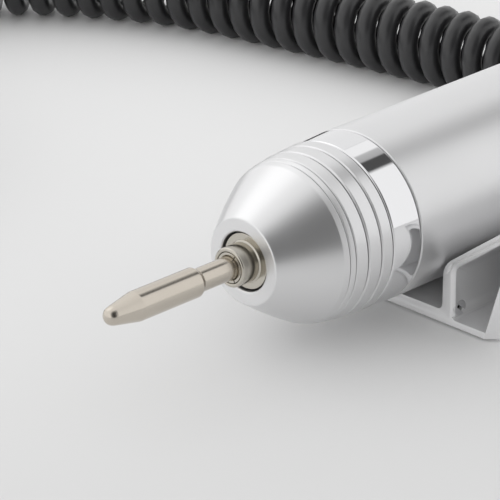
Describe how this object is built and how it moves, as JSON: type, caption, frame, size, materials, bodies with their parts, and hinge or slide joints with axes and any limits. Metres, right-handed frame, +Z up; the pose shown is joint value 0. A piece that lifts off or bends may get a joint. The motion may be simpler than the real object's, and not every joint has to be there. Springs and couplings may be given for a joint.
{
  "type": "electric nail drill handpiece",
  "caption": "Pen-shaped electric nail drill with a twist-lock chuck and a stepped bit, lying in an open extruded cradle, with a curly cord and jack plug.",
  "frame": {"origin": "centre of the cradle's flat base, on the surface it stands on", "axes": "+Z up; the handpiece lies along Y with its bit towards -Y and its cord towards +Y; X across the cradle"},
  "size_m": [0.1418, 0.1945, 0.0202],
  "materials": {
    "cradle_aluminium": "satin extrusion",
    "tool_steel": "plain steel",
    "black_cord": "smooth glossy jacket",
    "black_rubber": "moulded",
    "warm_nickel": "warm satin nickel",
    "satin_aluminium": "satin, fine grain",
    "chrome_plate": "mirror plate",
    "bearing_steel": "polished steel",
    "brass_parts": "turned brass",
    "magnet_black": "bonded magnet",
    "white_nylon": "moulded",
    "carbon": "carbon",
    "copper_colour": "copper alloy",
    "black_plastic": "moulded",
    "red_wire": "insulated wire",
    "spindle_steel": "ground steel",
    "laminated_iron": "laminated iron"
  },
  "bodies": {
    "cradle": {"cradle": "cradle_aluminium", "cradle_screw_1": "tool_steel", "cradle_screw_2": "tool_steel", "cradle_screw_3": "tool_steel", "cradle_screw_4": "tool_steel", "cord_lead": "black_cord", "cord_curls": "black_cord", "cord_tail": "black_cord", "plug_body": "black_rubber", "plug_jack": "warm_nickel"},
    "handpiece": {"barrel": "satin_aluminium", "chrome_ring": "chrome_plate", "front_housing": "cradle_aluminium", "rear_cap": "satin_aluminium", "strain_relief": "black_rubber", "front_bearing_outer_race": "bearing_steel", "front_bearing_balls": "bearing_steel", "rear_bearing_outer_race": "bearing_steel", "rear_bearing_balls": "bearing_steel", "bearing_retainer": "brass_parts", "motor_can": "tool_steel", "motor_bush": "brass_parts", "motor_magnet_1": "magnet_black", "motor_magnet_2": "magnet_black", "motor_end_bell": "white_nylon", "carbon_brush_1": "carbon", "carbon_brush_2": "carbon", "brush_spring_1": "copper_colour", "brush_spring_2": "copper_colour", "motor_terminal_1": "copper_colour", "motor_terminal_2": "copper_colour", "motor_clamp_ring": "black_plastic", "motor_wire_1": "red_wire", "motor_wire_2": "red_wire"},
    "nose": {"nose_sleeve": "satin_aluminium", "cam_ring": "tool_steel"},
    "thrust": {"thrust_sleeve": "tool_steel", "cam_pin_1": "tool_steel", "cam_pin_2": "tool_steel"},
    "spindle": {"spindle": "spindle_steel", "front_bearing_inner_race": "bearing_steel", "rear_bearing_inner_race": "bearing_steel", "drive_coupling": "black_plastic", "motor_shaft": "bearing_steel", "armature_core": "laminated_iron", "armature_winding_1": "copper_colour", "armature_winding_2": "copper_colour", "armature_winding_3": "copper_colour", "commutator": "copper_colour", "chuck_spring": "tool_steel"},
    "collet": {"collet": "tool_steel", "draw_pin": "tool_steel", "collet_nut": "brass_parts"},
    "bit": {"bit": "warm_nickel"}
  },
  "joints": [
    {"name": "handpiece_lift", "type": "slide", "parent": "cradle", "child": "handpiece", "axis": [0, 0, 1], "range_m": [0, 0.03]},
    {"name": "nose_twist", "type": "hinge", "parent": "handpiece", "child": "nose", "pos_m": [0, -0.025, 0.0107], "axis": [0, 1, 0], "range_deg": [0, 45]},
    {"name": "thrust_slide", "type": "slide", "parent": "handpiece", "child": "thrust", "axis": [0, -1, 0], "range_m": [0, 0.001]},
    {"name": "spindle_spin", "type": "hinge", "parent": "handpiece", "child": "spindle", "pos_m": [0, -0.025, 0.0107], "axis": [0, -1, 0], "continuous": true},
    {"name": "collet_draw", "type": "slide", "parent": "spindle", "child": "collet", "axis": [0, -1, 0], "range_m": [0, 0.001], "deforming": ["chuck_spring"]},
    {"name": "bit_pull", "type": "slide", "parent": "collet", "child": "bit", "axis": [0, -1, 0], "range_m": [0, 0.018]}
  ],
  "couplings": [
    {"joint": "thrust_slide", "follows": "nose_twist", "m_per_rad": 0.0012732},
    {"joint": "collet_draw", "follows": "nose_twist", "m_per_rad": 0.0012732}
  ]
}
